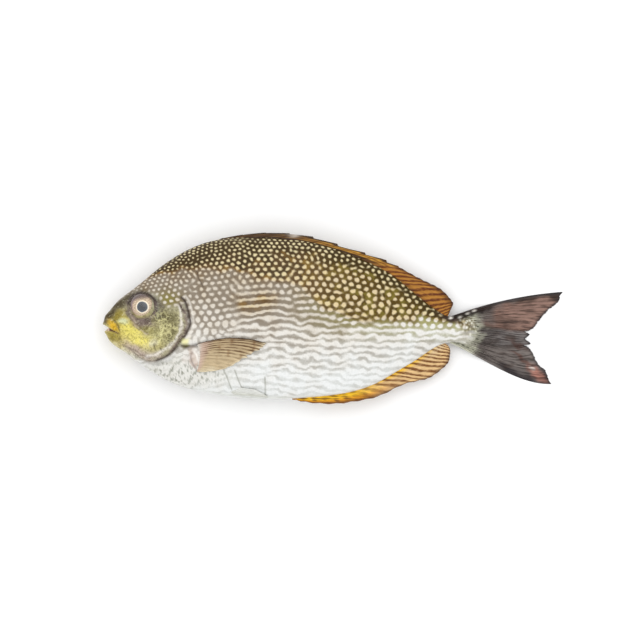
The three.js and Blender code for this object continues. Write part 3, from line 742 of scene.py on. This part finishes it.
def eyeMaterial():
    material, tree, shader = newMaterial("eye")
    radius, above = readValues(tree, "radius", "above")
    place = wire(tree, "ShaderNodeTexCoord").outputs["Object"]
    fine = noiseAt(tree, place, 1500, 3)
    soft = noiseAt(tree, place, 420, 3)
    edge = sums(tree, "MULTIPLY_ADD", sums(tree, "SUBTRACT", soft, 0.5), 0.06, radius)
    colour = ramp(tree, edge, [(0.0, srgb(50, 50, 50)), (0.22, srgb(56, 60, 66)), (0.335, srgb(72, 78, 84)),
                               (0.375, srgb(244, 234, 214)), (0.41, srgb(236, 220, 192)),
                               (0.45, srgb(206, 184, 154)), (0.62, srgb(212, 190, 160)),
                               (0.71, srgb(186, 158, 138)), (0.765, srgb(118, 98, 98))])
    iris = spread(tree, radius, 0.36, 0.5)
    flecks = sums(tree, "MULTIPLY", iris, spread(tree, fine, 0.38, 0.62, 0.55, 0.0))
    colour = blend(tree, flecks, colour, srgb(122, 98, 84))
    shaded = sums(tree, "MULTIPLY", sums(tree, "MULTIPLY", iris, above), 0.85)
    colour = blend(tree, shaded, colour, srgb(76, 58, 54))
    plug(tree, shader, {"Base Color": colour, "Roughness": spread(tree, fine, 0.3, 0.7, 0.22, 0.34, "LINEAR"),
                        "Normal": relief(tree, fine, 0.12, 0.0002), "Coat Weight": 0.6, "Coat Roughness": 0.12})
    return material


def makeEye(side, material):
    # flattened ball turned round its own axis: r = R sin t, z = h cos t plus a low bump over the pupil
    e = eyeShape
    x, y = e["place"][0] * bodyShape["length"], e["place"][1] * bodyShape["depth"]
    reach = [flankAt(np.array(x + d), y) for d in (-e["diameter"] / 2, 0, e["diameter"] / 2)]
    taper = math.atan((reach[2] - reach[0]) / e["diameter"])
    t = np.linspace(0, math.pi, e["rings"])[1:-1, None]
    turn = np.linspace(0, math.tau, e["around"], endpoint=False)[None, :]
    r = e["diameter"] / 2 * np.sin(t)
    across = np.hypot(r * np.cos(turn) - e["gaze"], r * np.sin(turn))
    cornea = e["cornea"] * np.exp(-(across / e["corneaWidth"]) ** 4)
    height = e["depth"] / 2 * np.cos(t) + cornea * (np.cos(t) > 0)
    ball = np.stack([r * np.cos(turn), r * np.sin(turn), height], 2).reshape(-1, 3)
    ball = np.concatenate([ball, [[0, 0, e["depth"] / 2 + e["cornea"]], [0, 0, -e["depth"] / 2]]])
    radius = np.hypot(ball[:, 0] - e["gaze"], ball[:, 1]) / 10 + np.where(ball[:, 2] < 0, 0.5, 0)
    above = ease(ball[:, 1] - 0.15 * ball[:, 0], 3.6, 6.6)
    ball[:, 2] *= side
    c, s = math.cos(-side * taper), math.sin(-side * taper)
    ball = ball @ np.array([[c, 0, -s], [0, 1, 0], [s, 0, c]])
    centre = bodyLine("lie", x) + side * (reach[1] + e["bulge"] - e["depth"] / 2)
    ball += [x, y, centre]
    faces = [[f[0], *f[:0:-1]] for f in ringFaces(len(t), turn.size)]
    if side < 0:
        faces = [f[::-1] for f in faces]
    name = "left" if side > 0 else "right"
    values = {"radius": radius, "above": above}
    makeMesh(name + "EyeBall", ball, faces, values, material, name + "_eye")


eyeLook = eyeMaterial()
for side in (1, -1):
    makeEye(side, eyeLook)
print("eyes made")


def finMaterial(name, stripeTone, wander=0.9, gloss=0.42, broken=0.35):
    # colour from the painted sheet, darkened in stripes between the rays, with fibres along each ray
    material, tree, shader = newMaterial(name)
    ray, reach, depth = readValues(tree, "ray", "reach", "stripe")
    paint = readPaint(tree)

    def sheetPlace(acrossRays, alongRays):
        return wire(tree, "ShaderNodeCombineXYZ", {0: sums(tree, "MULTIPLY", ray, acrossRays),
                                                   1: sums(tree, "MULTIPLY", reach, alongRays)}).outputs[0]
    fibre = noiseAt(tree, sheetPlace(3.0, 1.3), 3.0, 5, 0.65)
    # the stripes drift slowly across the rays and come and go along them
    drift = sheetPlace(0.45, 1.6)
    bent = sums(tree, "MULTIPLY_ADD", sums(tree, "SUBTRACT", noiseAt(tree, drift, 1.7, 3), 0.5), wander, ray)
    wave = sums(tree, "PINGPONG", bent, 0.5)
    stripe = spread(tree, wave, 0.1, 0.38, 1.0, 0.0)
    patch = noiseAt(tree, drift, 4.1, 3, 0.6)
    stripe = sums(tree, "MULTIPLY", stripe, spread(tree, patch, 0.32, 0.58, 1.0 - broken, 1.0))
    colour = blend(tree, sums(tree, "MULTIPLY", stripe, depth), paint, tint(tree, paint, stripeTone))
    colour = blend(tree, 0.8, colour, tint(tree, colour, ramp(tree, fibre, [
        (0.3, (0.45, 0.43, 0.42)), (0.5, (0.9, 0.89, 0.88)), (0.7, (1.3, 1.3, 1.3))])))
    rough = spread(tree, fibre, 0.3, 0.7, gloss - 0.08, gloss + 0.1, "LINEAR")
    height = sums(tree, "MULTIPLY_ADD", stripe, -0.8, fibre)
    plug(tree, shader, {"Base Color": colour, "Roughness": rough, "Normal": relief(tree, height, 0.5, 0.0004),
                        "Coat Weight": 0.04, "Coat Roughness": 0.3, "Specular IOR Level": 0.2})
    return material


def makeFin(name, node, rays, count, lay, thickness, material, paintIt, bow=None, margin=None,
            edgeLift=None, across=240, alongRay=56):
    # a closed sheet: each point sits on a line from root to tip, u tells which ray and v how far out.
    # The section is an ellipse-ended slab with a ridge at each ray: half (0.7 + 0.3 cos(2 pi u n)).
    rays = np.array(rays, float)
    u = np.linspace(0, 1, across)
    v = (0.5 - 0.5 * np.cos(math.pi * np.linspace(0, 1, alongRay))) ** 0.9
    where = np.linspace(0, 1, len(rays))
    rootX, rootY, tipX, tipY = (splineLine(np.column_stack([where, rays[:, k]]), u)[:, None]
                                for k in range(4))
    gridU, gridV = np.meshgrid(u, v, indexing="ij")
    reach = gridV * (1 if margin is None else 1 + (margin(u, tipX[:, 0], tipY[:, 0])[:, None]) * gridV ** 2)
    x, y = mix(rootX, tipX, reach), mix(rootY, tipY, reach)
    if bow is not None:
        y = y + bow(gridU, reach)
    if edgeLift is not None:
        y = y + edgeLift(u, tipX[:, 0])[:, None] * gridV ** 3
    half = thickness(gridU, x) if callable(thickness) else mix(thickness[0], thickness[1], gridV) / 2
    ridge = 0.7 + 0.3 * np.cos(math.tau * gridU * count)
    closing = np.sqrt(1 - np.abs(2 * gridV - 1) ** 30) * np.sqrt(1 - np.abs(2 * gridU - 1) ** 50)
    point, direction = lay(x, y, reach, half)
    offset = direction * (half * ridge * closing)[..., None]
    top, bottom = point + offset, point - offset
    border = np.zeros(gridU.shape, bool)
    border[[0, -1]] = True
    border[:, [0, -1]] = True
    topIndex = np.arange(gridU.size).reshape(gridU.shape)
    bottomIndex = np.where(border, topIndex, 0)
    bottomIndex[~border] = gridU.size + np.arange((~border).sum())
    points = np.concatenate([top.reshape(-1, 3), bottom[~border]])

    def quads(index):
        return np.stack([index[:-1, :-1], index[1:, :-1], index[1:, 1:], index[:-1, 1:]], -1).reshape(-1, 4)
    faces = np.concatenate([quads(topIndex), quads(bottomIndex)[:, ::-1]])
    corners = points[faces]
    volume = np.einsum("ij,ij->", corners[:, 0], np.cross(corners[:, 1], corners[:, 2])
                       + np.cross(corners[:, 2], corners[:, 3]))
    if volume < 0:
        faces = faces[:, ::-1]

    def both(field):
        field = np.broadcast_to(field, gridU.shape + np.shape(field)[2:])
        return np.concatenate([field.reshape(-1, *field.shape[2:]), field[~border]])
    paint, stripe = paintIt(gridU, reach, x, y)
    values = {"ray": both(gridU * count), "reach": both(reach), "stripe": both(stripe), "paint": both(paint)}
    makeMesh(name, points, faces.tolist(), values, material, node)
    print(name, len(faces), "faces")


def layUpright(ripple):
    # in the fish's middle plane, with a slight ripple towards the free edge
    def lay(x, y, reach, half):
        z = bodyLine("lie", x) + ripple * reach * softNoise(x, y, 9, 61)
        return np.stack([x, y, z], -1), np.array([0.0, 0.0, 1.0])
    return lay


def shade(stops, at):
    # colour from a list of (place, tone) by straight blending
    places = [place for place, _ in stops]
    colours = np.array([tones[tone] for _, tone in stops])
    return np.stack([np.interp(at, places, colours[:, k]) for k in range(3)], -1)


dorsalFin = {"rays": 25, "rootDepth": 1.6, "thickness": (2.2, 0.8),
             # station in percent of length, then tip behind and above the root in millimetres
             "tips": [[27, 11.7, 3.3], [34.5, 15.6, 3.2], [42.6, 19.5, 2.6], [50.4, 19.5, 0.2],
                      [58, 19.5, -2.2], [64.5, 21.5, -3], [70, 21.5, -3.8], [75.2, 19.9, -3.6],
                      [78.7, 20.8, -2.6], [82, 20.8, -0.7], [85.2, 18.9, -0.4], [88.2, 12.6, 2.4],
                      [89.9, 6.5, 0.9], [91.7, 1, 0.4]],
             "spineEnds": [66, 78, 90.5, 106, 121.5, 137, 152.8, 170.4, 184.4, 192.2]}
analFin = {"rays": 21, "rootDepth": 1.6, "thickness": (2.0, 0.8),
           "tips": [[50.0, 1.2, -0.6], [50.7, 9.1, -2.6], [55.2, 14.3, -4.4], [60.5, 16.9, -4.1],
                    [66.7, 17.6, -3.1], [71.2, 20.8, 0.3], [75.2, 24, -1.2],
                    [77.9, 24.8, -2.2], [80.9, 24.6, -1.1], [83.4, 21.7, -1.1], [85.6, 16.9, -1.2],
                    [87.8, 11.9, -1.4], [89.4, 7.2, -0.9], [90.6, 2.6, -0.3]]}


def ridgeRays(fin, edge, side):
    rays = []
    for station, behind, above in fin["tips"]:
        x = station / 100 * bodyShape["length"]
        y = float(bodyLine(edge, x))
        rays.append([x, y - side * fin["rootDepth"], x + behind, y + above])
    return rays


def teeth(fin, u):
    # one short tooth for each ray
    return np.abs(2 * (u * fin["rays"] % 1) - 1) - 0.8


def spineSteps(u, tipX):
    # folded spines: the edge rises to each spine's end and drops behind it; short teeth on the soft part
    ends = np.array(dorsalFin["spineEnds"])
    k = np.clip(np.searchsorted(ends, tipX), 1, len(ends) - 1)
    phase = np.clip((tipX - ends[k - 1]) / (ends[k] - ends[k - 1]), 0, 1)
    spines = mix(0.2, 1.3, ease(tipX, 100, 155)) * (phase ** 1.3 - 0.75) * (tipX < ends[-1])
    return spines + 0.5 * teeth(dorsalFin, u) * (tipX >= ends[-1])


def dorsalPaint(u, v, x, y):
    soft = ease(u, 0.4, 0.52)
    strip = shade([(0, "finDark"), (0.42, "finDark"), (0.54, "finGold"), (0.64, "finBrown"), (0.76, "finGold"),
                   (0.88, "finDark"), (1, "finDark")], v)
    lobe = shade([(0, "finBrown"), (0.25, "finOrange"), (0.75, "finOrange"), (0.93, "finBrown"),
                  (1, "finRim")], v)
    paint = mix(strip, lobe, soft[..., None])
    paint = washed(paint, "tailEdge", 0.85 * (1 - ease(u, 0.12, 0.34)))
    # a torn pale spot at the free edge
    return washed(paint, "white", 0.7 * blot(x, y, (124, 54.5), (3.2, 1.6))), 0.5 + 0.5 * soft


def analPaint(u, v, x, y):
    lobe = shade([(0, "analYellow"), (0.1, "analYellow"), (0.3, "analTan"), (0.88, "analTan"),
                  (1, "analRim")], v)
    strip = shade([(0, "analYellow"), (0.45, "analYellow"), (0.7, "analOrange"), (0.9, "finBrown"),
                   (1, "analRim")], v)
    # the folded front edge is twisted: long dark streaks run along it
    streaks = ease(softNoise(x / 6, y + 0.08 * x, 0.8, 62), -0.1, 0.5) * (1 - ease(u, 0.2, 0.36))
    strip = washed(strip, "finBrown", 0.85 * streaks)
    paint = mix(strip, lobe, ease(u, 0.26, 0.42)[..., None])
    pale = ease(u, 0.6, 0.95) * (1 - ease(v, 0.25, 0.8))
    return washed(paint, "finTanPale", 0.6 * pale), 0.3 + 0.7 * ease(u, 0.2, 0.45)


backFinLook = finMaterial("backFinWeb", srgb(140, 94, 30))
makeFin("backFin", "dorsal_fin", ridgeRays(dorsalFin, "back", 1), dorsalFin["rays"],
        layUpright(0.5), dorsalFin["thickness"], backFinLook, dorsalPaint, edgeLift=spineSteps, across=420)
makeFin("bellyFin", "anal_fin", ridgeRays(analFin, "belly", -1), analFin["rays"],
        layUpright(0.5), analFin["thickness"], finMaterial("bellyFinWeb", srgb(132, 98, 58)), analPaint,
        edgeLift=lambda u, tipX: -0.6 * teeth(analFin, u), across=320)

tailShape = {"rays": 30, "station": 0.94, "rootDepth": 6, "fill": 0.92, "upperBow": 3, "lowerBow": 4.6,
             "droop": 26,
             # tips behind and above the middle of the stalk, in millimetres, upper lobe first
             "tips": [[70.7, 24.8], [66.9, 18.2], [61.2, 13.2], [55.8, 7.3], [49.8, 0], [45.4, -0.9], [48.2, -3],
                      [46.4, -6.2], [49.2, -9.3], [44.8, -10.2], [49.5, -12.8], [53.4, -20.8], [59, -27.6],
                      [63.5, -35.5]]}


def makeTail():
    t = tailShape
    x0 = t["station"] * bodyShape["length"]
    back, belly = float(bodyLine("back", x0)), float(bodyLine("belly", x0))
    middle, spreadY = (back + belly) / 2, t["fill"] * (back - belly)
    n = len(t["tips"])
    rays = [[x0 - t["rootDepth"], middle + spreadY * (0.5 - i / (n - 1)), x0 + behind, middle + above]
            for i, (behind, above) in enumerate(t["tips"])]

    def bow(u, v):
        outward = np.cos(math.pi * u)
        upper, lower = 4 * t["upperBow"] * v * (1 - v), 6.75 * t["lowerBow"] * v * v * (1 - v)
        return outward * np.where(outward > 0, upper, lower)

    def lay(x, y, reach, half):
        # the sheet sinks behind the stalk until it lies on the slab
        sunk = ease(x, x0, x0 + t["droop"])
        z = mix(bodyLine("lie", x), half * 1.05, sunk) + 0.12 * reach * softNoise(x, y, 11, 71)
        return np.stack([x, y, np.maximum(z, half * 1.01)], -1), np.array([0.0, 0.0, 1.0])

    def flesh(u, x):
        # half thickness: inside the stalk at first, then a fleshy root that wraps its end and thins away
        root = np.interp(x, [229, 236, 239, 242, 246, 250, 256, 264, 275],
                         [2.0, 2.8, 2.7, 2.5, 2.1, 1.7, 1.1, 0.5, 0.4])
        return root * (1 - (2 * u - 1) ** 4) ** 0.5 + 0.12

    def paintIt(u, v, x, y):
        paint = shade([(0, "tailEdge"), (0.02, "tailEdge"), (0.06, "tailPink"), (0.34, "tailPink"),
                       (0.44, "tailGrey"), (0.62, "tailGrey"), (0.7, "tailLow"), (0.9, "tailLow"),
                       (0.97, "tailRim"), (1, "tailRim")],
                      u + 0.03 * softNoise(x, y, 8, 81))
        streaks = softNoise(x / 3, y, 1.6, 89) + softNoise(x / 2, y, 4, 90)
        paint = washed(paint, "tailEdge", 0.45 * ease(streaks, 0.2, 1.6) * ease(v, 0.3, 0.6))
        paint = mix(tones["tailRoot"], paint, ease(v + 0.07 * softNoise(x, y, 6, 87), 0.34, 0.62)[..., None])
        for place, size, turn, tone, strength in [
                ((286, 20), (14, 4.5), 18, "tailPink", 0.6), ((283, -36), (8, 3), -42, "pinkTip", 0.85),
                ((273, -26), (9, 1.6), -38, "redStreak", 0.8), ((270, -17), (8, 1.6), -28, "redStreak", 0.7),
                ((266, -13), (5, 1.5), -20, "tailEdge", 0.7), ((268, 15.5), (12, 2.0), 14, "redStreak", 0.5),
                ((262, -2), (9, 3), -8, "tailEdge", 0.5), ((280, -33), (1.6, 1.2), -30, "white", 0.6)]:
            cover = np.ones(x.size)
            flat = paint.reshape(-1, 3).copy()
            dab(flat, cover, (x + softNoise(x, y, 4, 82)).ravel(), (y + softNoise(x, y, 4, 83)).ravel(),
                place, size, turn, tone, strength)
            paint = flat.reshape(paint.shape)
        paint = washed(paint, "tailRim", 0.8 * ease(v, 0.955, 1.0))
        scaly = 1 - ease(x + 2.4 * softNoise(x, y, 2.4, 84) + 0.35 * np.abs(y + 7), 243, 252)
        speckled = washed(tones["scalePale"], "crease", 0.8 * ease(softNoise(x, y, 1.1, 88), 0.1, 0.9))
        paint = mix(paint, speckled, (0.95 * scaly)[..., None])
        paint = washed(paint, "tailRim", 0.85 * (1 - ease(u, 0.012, mix(0.075, 0.03, v))))
        flat, cover = paint.reshape(-1, 3).copy(), np.ones(x.size)
        markStalk(flat, cover, x.ravel(), y.ravel())
        root = 1 - ease(x.ravel(), 252, 258)
        paint = mix(paint.reshape(-1, 3), flat, root[:, None]).reshape(paint.shape)
        return paint, 0.75 * (1 - 0.9 * scaly)

    def ragged(u, tipX, tipY):
        return 0.006 * softNoise(u * 60, u * 0, 0.8, 85) + 0.008 * softNoise(u * 60, u * 0, 3, 86)
    makeFin("tailFin", "tail_fin", rays, t["rays"], lay, flesh,
            finMaterial("tailWeb", srgb(92, 78, 74), wander=2.6, broken=1.0), paintIt, bow=bow, margin=ragged,
            across=360, alongRay=96)


makeTail()

sideFins = {"pectoral": {"place": (23.9, -24.9), "rays": 13, "bow": 4.9, "thickness": (1.0, 0.7),
                         "rootAndTip": [[-3.3, 7.2, 47.6, 10.7], [-2.6, 5.6, 45.4, 8], [-1.8, 3.6, 39.7, 4.6],
                                        [-1, 1.2, 33.9, 1.3], [-0.2, -1.6, 26.7, -3.3], [1, -5, 18.2, -6.5],
                                        [2, -7.7, 7.8, -7.9]]},
            "pelvic": {"place": (35.2, -44.8), "rays": 5, "bow": 0, "thickness": (0.9, 0.6),
                       "rootAndTip": [[-6, -0.4, 21.5, -3], [-4, 0.9, 19.5, -1.4], [-1, 2.2, 16.5, 0.3],
                                      [2, 3.4, 13, 2]]}}


def makeSideFin(kind, side, swing, material, paintIt):
    fin = sideFins[kind]
    centre = np.array([fin["place"][0] / 100 * bodyShape["length"],
                       fin["place"][1] / 100 * bodyShape["depth"]])
    c, s = math.cos(math.radians(swing)), math.sin(math.radians(swing))
    turn = np.array([[c, s], [-s, c]])
    pairs = np.array(fin["rootAndTip"], float).reshape(-1, 2) @ turn + centre
    rays = pairs.reshape(-1, 4)
    bowHere = fin["bow"] if side > 0 else 0

    def lay(x, y, reach, half):
        # laid along the flank: lifted along its outward normal, from under the skin at the root to just clear
        step = 0.5
        alongX = (flankAt(x + step, y) - flankAt(x - step, y)) / (2 * step)
        alongY = (flankAt(x, y + step) - flankAt(x, y - step)) / (2 * step)
        normal = np.stack([-alongX, -alongY, np.ones_like(x)], -1)
        normal /= np.linalg.norm(normal, axis=-1, keepdims=True)
        lift = mix(-1.6, 0.75 + half, ease(reach, 0.0, 0.28))
        point = np.stack([x, y, flankAt(x, y)], -1) + normal * lift[..., None]
        point[..., 2] = np.maximum(bodyLine("lie", x) + side * point[..., 2], half)
        return point, normal * [side, side, 1]
    name = ("left" if side > 0 else "right") + kind.capitalize() + "Fin"
    node = ("left_" if side > 0 else "right_") + kind + "_fin"
    makeFin(name, node, rays, fin["rays"], lay, fin["thickness"], material, paintIt,
            bow=lambda u, v: 4 * bowHere * (1 - u) * v * (1 - v), across=200, alongRay=72,
            margin=lambda u, tipX, tipY: 0.02 * softNoise(u * 40, u * 0, 1.3, 91))


def pectoralPaint(u, v, x, y):
    paint = shade([(0, "finDark"), (0.06, "finTanDark"), (0.3, "finTanDark"), (0.5, "finTan"), (0.8, "finTan"),
                   (1, "finTanPale")], u + 0.05 * softNoise(x, y, 6, 92))
    stained = ease(softNoise(x, y, 2.6, 93) + softNoise(x, y, 5, 94), 0.5, 1.6) * (1 - ease(u, 0.45, 0.75))
    paint = washed(paint, "finBrown", 0.6 * stained)
    rooted = washed(tones["throat"], "finPink", ease(v, 0.1, 0.22))
    paint = mix(rooted, paint, ease(v, 0.2, 0.38)[..., None])
    paint = washed(paint, "finDark", 0.8 * (1 - ease(u, 0.01, 0.07)) * ease(v, 0.0, 0.1))
    paint = washed(paint, "finTanPale", 0.7 * ease(v, 0.93, 1.0))
    return paint, 0.95 * (1 - 0.75 * ease(u, 0.35, 0.7)) * ease(v, 0.12, 0.34)


def pelvicPaint(u, v, x, y):
    paint = shade([(0, "keel"), (0.5, "pelvicPale"), (1, "pelvicPale")], u)
    return paint, 0.15 * np.ones_like(v)


pectoralLook = finMaterial("sideFinWeb", srgb(122, 94, 58), broken=0.85)
pelvicLook = finMaterial("pelvicWeb", srgb(190, 184, 160))
# the hidden pectoral fin is swung towards the belly, where there is room under the flank
for side, swing in ((1, 0), (-1, -28)):
    makeSideFin("pectoral", side, swing, pectoralLook, pectoralPaint)
for side in (1, -1):
    makeSideFin("pelvic", side, 0, pelvicLook, pelvicPaint)


stageLook = {"floorSize": 3.0, "skyStrength": 1.07, "keyPower": 3.8, "keySize": 1.3,
             "fillPower": 3.8 * 0.3, "fillSize": 0.9,
             "cameraHeight": 2.792, "lens": 240, "aim": (-0.009, -0.001)}


def makeStage():
    material, tree, shader = newMaterial("paleSlab")
    place = wire(tree, "ShaderNodeTexCoord").outputs["Object"]
    pale = ramp(tree, noiseAt(tree, place, 6, 3), [(0.3, (0.93, 0.93, 0.932)), (0.7, (0.95, 0.95, 0.95))])
    plug(tree, shader, {"Base Color": pale, "Roughness": 0.8})
    half = stageLook["floorSize"] / 2
    mesh = bpy.data.meshes.new("slab")
    corners = [(-half, -half, 0), (half, -half, 0), (half, half, 0), (-half, half, 0)]
    mesh.from_pydata(corners, [], [(0, 1, 2, 3)])
    mesh.materials.append(material)
    slab = bpy.data.objects.new("slab", mesh)
    scene.collection.objects.link(slab)

    world = bpy.data.worlds.new("softSky")
    world.use_nodes = True
    plug(world.node_tree, world.node_tree.nodes["Background"], {"Color": (1, 1, 1),
                                                                "Strength": stageLook["skyStrength"]})
    scene.world = world

    panels = (("keyPanel", (0.2, 0.5, 1.4), stageLook["keyPower"], stageLook["keySize"]),
              ("fillPanel", (-0.6, 0.5, 1.3), stageLook["fillPower"], stageLook["fillSize"]))
    for name, place, power, size in panels:
        lamp = bpy.data.lights.new(name, "AREA")
        lamp.energy = power
        lamp.size = size
        holder = bpy.data.objects.new(name, lamp)
        holder.location = place
        # turned to face the origin
        holder.rotation_euler = (math.atan2(math.hypot(place[0], place[1]), place[2]), 0,
                                 math.atan2(place[1], place[0]) + math.pi / 2)
        scene.collection.objects.link(holder)

    view = bpy.data.cameras.new("aboveView")
    view.lens = stageLook["lens"]
    view.sensor_width = 36
    camera = bpy.data.objects.new("aboveView", view)
    camera.location = (*stageLook["aim"], stageLook["cameraHeight"])
    scene.collection.objects.link(camera)
    scene.camera = camera
    scene.view_settings.view_transform = "Standard"
    print("stage, light and camera set")


makeStage()
